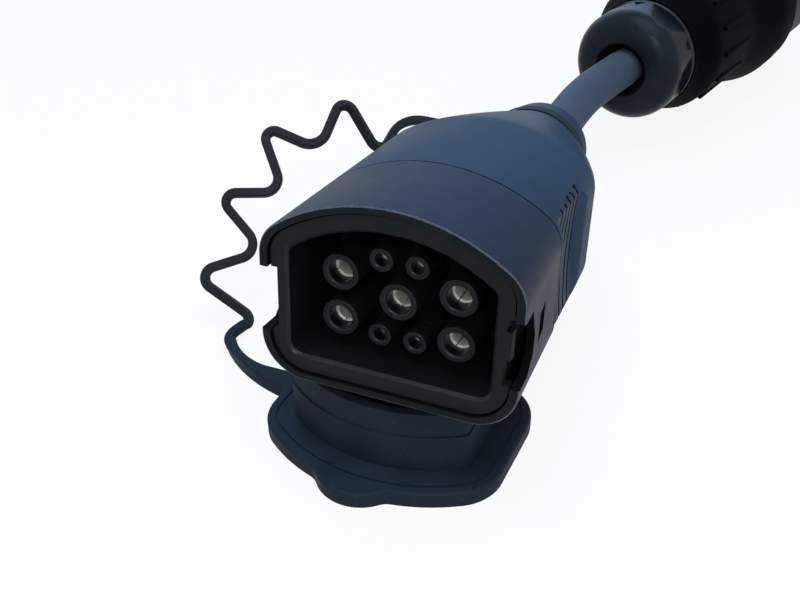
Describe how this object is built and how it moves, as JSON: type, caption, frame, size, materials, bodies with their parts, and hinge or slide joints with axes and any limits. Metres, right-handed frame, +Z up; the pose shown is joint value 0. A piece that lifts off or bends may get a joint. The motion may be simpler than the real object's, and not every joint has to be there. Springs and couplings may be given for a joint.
{
  "type": "electric vehicle charging adapter",
  "caption": "Short adapter lead from a D-shaped charger coupler to a round industrial plug, with its dust cap on a wavy strap.",
  "frame": {"origin": "middle of the dust cap's flat face, on the floor", "axes": "+X to the right, +Y from the coupler back to the plug, +Z up"},
  "size_m": [0.1648, 0.3681, 0.0798],
  "materials": {
    "board": "satin",
    "body_plastic": "satin",
    "cable_jacket": "matte",
    "cap_rubber": "matte",
    "contact_metal": "silver plated, polished",
    "core_insulation": "satin",
    "cover_plastic": "satin",
    "hood_plastic": "satin",
    "inner_plastic": "matte",
    "insert_plastic": "matte",
    "nut_plastic": "satin",
    "pin_metal": "nickel plated, satin",
    "relief_rubber": "matte",
    "screw_steel": "satin",
    "seal_rubber": "matte",
    "shroud_plastic": "satin"
  },
  "bodies": {
    "root": {"cable": "cable_jacket", "cable_clamp": "inner_plastic", "clamp_screws": "screw_steel", "coding_board": "board", "contact_retainer": "inner_plastic", "coupler_wires": "core_insulation", "cover_screws": "screw_steel", "dust_cap": "cap_rubber", "earth_pin": "pin_metal", "front_hood": "hood_plastic", "gland_cage": "inner_plastic", "gland_nut": "nut_plastic", "gland_seal": "seal_rubber", "housing_seal": "seal_rubber", "neutral_pin": "pin_metal", "phase_pin_1": "pin_metal", "phase_pin_2": "pin_metal", "phase_pin_3": "pin_metal", "pin_carrier": "inner_plastic", "plug_body": "body_plastic", "plug_shroud": "shroud_plastic", "plug_wires": "core_insulation", "power_contact_centre": "contact_metal", "power_contact_lower_left": "contact_metal", "power_contact_lower_right": "contact_metal", "power_contact_upper_left": "contact_metal", "power_contact_upper_right": "contact_metal", "rear_cover": "cover_plastic", "retainer_screws": "screw_steel", "shroud_screws": "screw_steel", "signal_contact_lower_left": "contact_metal", "signal_contact_lower_right": "contact_metal", "signal_contact_upper_left": "contact_metal", "signal_contact_upper_right": "contact_metal", "socket_insert": "insert_plastic", "strain_relief": "relief_rubber", "terminal_screws": "screw_steel"}
  },
  "joints": []
}
